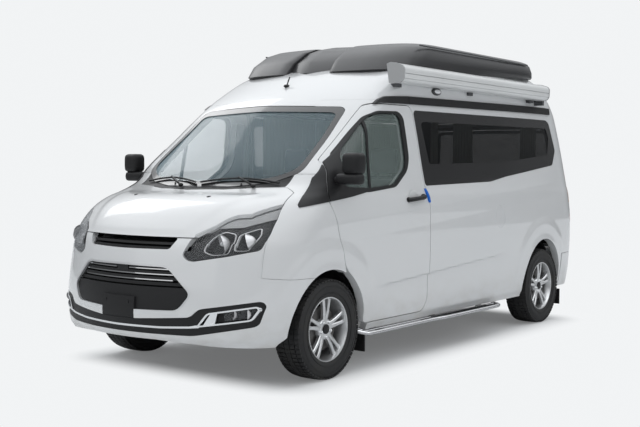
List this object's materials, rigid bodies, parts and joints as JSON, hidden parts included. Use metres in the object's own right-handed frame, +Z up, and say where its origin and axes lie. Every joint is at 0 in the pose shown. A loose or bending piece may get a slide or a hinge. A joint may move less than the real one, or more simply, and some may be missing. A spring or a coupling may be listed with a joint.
{
  "type": "recreational vehicle",
  "caption": "Camper van with a raised roof, black roof pod, side awning, long dark side glass, hinged doors, tailgate and bonnet, steered front wheels and side steps.",
  "frame": {"origin": "on the ground under the middle of the van's overall length and width", "axes": "+Z up, the van faces -Y, its left side is +X"},
  "size_m": [2.286, 5.309, 2.425],
  "materials": {
    "white_paint": "clear-coated gloss",
    "gloss_black": "gloss",
    "black_plastic": "fine grain, satin",
    "window_glass": "tinted",
    "lamp_lens": "clear lens over bright reflectors",
    "red_lens": "red lens",
    "tyre_rubber": "matt",
    "alloy": "painted silver",
    "dark_steel": "satin black",
    "stainless": "polished",
    "awning_white": "satin",
    "trim_grey": "soft grain",
    "seat_cloth": "woven",
    "curtain_cloth": "woven"
  },
  "bodies": {
    "shell": {"awning_case": "awning_white", "body_side_left": "white_paint", "body_side_right": "white_paint", "bulkhead": "dark_steel", "bumper_band": "black_plastic", "cowl_panel": "black_plastic", "curtain_left": "curtain_cloth", "curtain_right": "curtain_cloth", "dashboard": "trim_grey", "engine_block": "dark_steel", "front_bumper": "white_paint", "front_seat_left": "seat_cloth", "front_seat_right": "seat_cloth", "front_subframe": "dark_steel", "front_wing_left": "white_paint", "front_wing_right": "white_paint", "grille": "black_plastic", "headlamp_left": "lamp_lens", "headlamp_right": "lamp_lens", "high_roof": "white_paint", "rear_axle": "dark_steel", "rear_bench": "seat_cloth", "rear_bumper": "black_plastic", "roof_pod": "gloss_black", "side_glass_left": "window_glass", "side_glass_right": "window_glass", "side_step_left": "stainless", "side_step_right": "stainless", "sliding_door": "white_paint", "sliding_door_glass": "window_glass", "tail_lamp_left": "red_lens", "tail_lamp_right": "red_lens", "underbody": "dark_steel", "windscreen": "window_glass"},
    "door_left": {"door_left": "white_paint", "door_glass_left": "window_glass", "mirror_left": "black_plastic"},
    "door_right": {"door_right": "white_paint", "door_glass_right": "window_glass", "mirror_right": "black_plastic"},
    "tailgate": {"tailgate": "white_paint", "tailgate_glass": "window_glass"},
    "bonnet": {"bonnet": "white_paint"},
    "steering_wheel": {"steering_wheel": "black_plastic"},
    "knuckle_left": {"knuckle_left": "dark_steel"},
    "knuckle_right": {"knuckle_right": "dark_steel"},
    "wheel_front_left": {"tyre_front_left": "tyre_rubber", "rim_front_left": "alloy"},
    "wheel_front_right": {"tyre_front_right": "tyre_rubber", "rim_front_right": "alloy"},
    "wheel_rear_left": {"tyre_rear_left": "tyre_rubber", "rim_rear_left": "alloy"},
    "wheel_rear_right": {"tyre_rear_right": "tyre_rubber", "rim_rear_right": "alloy"}
  },
  "joints": [
    {"name": "door_left_hinge", "type": "hinge", "parent": "shell", "child": "door_left", "pos_m": [0.962, -1.665, 0.8], "axis": [0, 0, -1], "range_deg": [0, 68]},
    {"name": "door_right_hinge", "type": "hinge", "parent": "shell", "child": "door_right", "pos_m": [-0.962, -1.665, 0.8], "axis": [0, 0, 1], "range_deg": [0, 68]},
    {"name": "tailgate_hinge", "type": "hinge", "parent": "shell", "child": "tailgate", "pos_m": [0, 2.465, 1.915], "axis": [1, 0, 0], "range_deg": [0, 85]},
    {"name": "bonnet_hinge", "type": "hinge", "parent": "shell", "child": "bonnet", "pos_m": [0, -1.78, 1.325], "axis": [-1, 0, 0], "range_deg": [0, 52]},
    {"name": "steer_left", "type": "hinge", "parent": "shell", "child": "knuckle_left", "pos_m": [0.775, -1.63, 0.343], "axis": [0, 0, 1], "range_deg": [-32, 32]},
    {"name": "steer_right", "type": "hinge", "parent": "shell", "child": "knuckle_right", "pos_m": [-0.775, -1.63, 0.343], "axis": [0, 0, 1], "range_deg": [-32, 32]},
    {"name": "steering_wheel_turn", "type": "hinge", "parent": "shell", "child": "steering_wheel", "pos_m": [0.42, -0.97, 1.2], "axis": [0, 0.866, 0.5], "range_deg": [-480, 480]},
    {"name": "wheel_front_left_spin", "type": "hinge", "parent": "knuckle_left", "child": "wheel_front_left", "pos_m": [0.86, -1.63, 0.343], "axis": [1, 0, 0], "continuous": true},
    {"name": "wheel_front_right_spin", "type": "hinge", "parent": "knuckle_right", "child": "wheel_front_right", "pos_m": [-0.86, -1.63, 0.343], "axis": [1, 0, 0], "continuous": true},
    {"name": "wheel_rear_left_spin", "type": "hinge", "parent": "shell", "child": "wheel_rear_left", "pos_m": [0.86, 1.67, 0.343], "axis": [1, 0, 0], "continuous": true},
    {"name": "wheel_rear_right_spin", "type": "hinge", "parent": "shell", "child": "wheel_rear_right", "pos_m": [-0.86, 1.67, 0.343], "axis": [1, 0, 0], "continuous": true}
  ],
  "couplings": [
    {"joint": "steer_right", "follows": "steer_left", "ratio": 1},
    {"joint": "steering_wheel_turn", "follows": "steer_left", "ratio": 15}
  ]
}
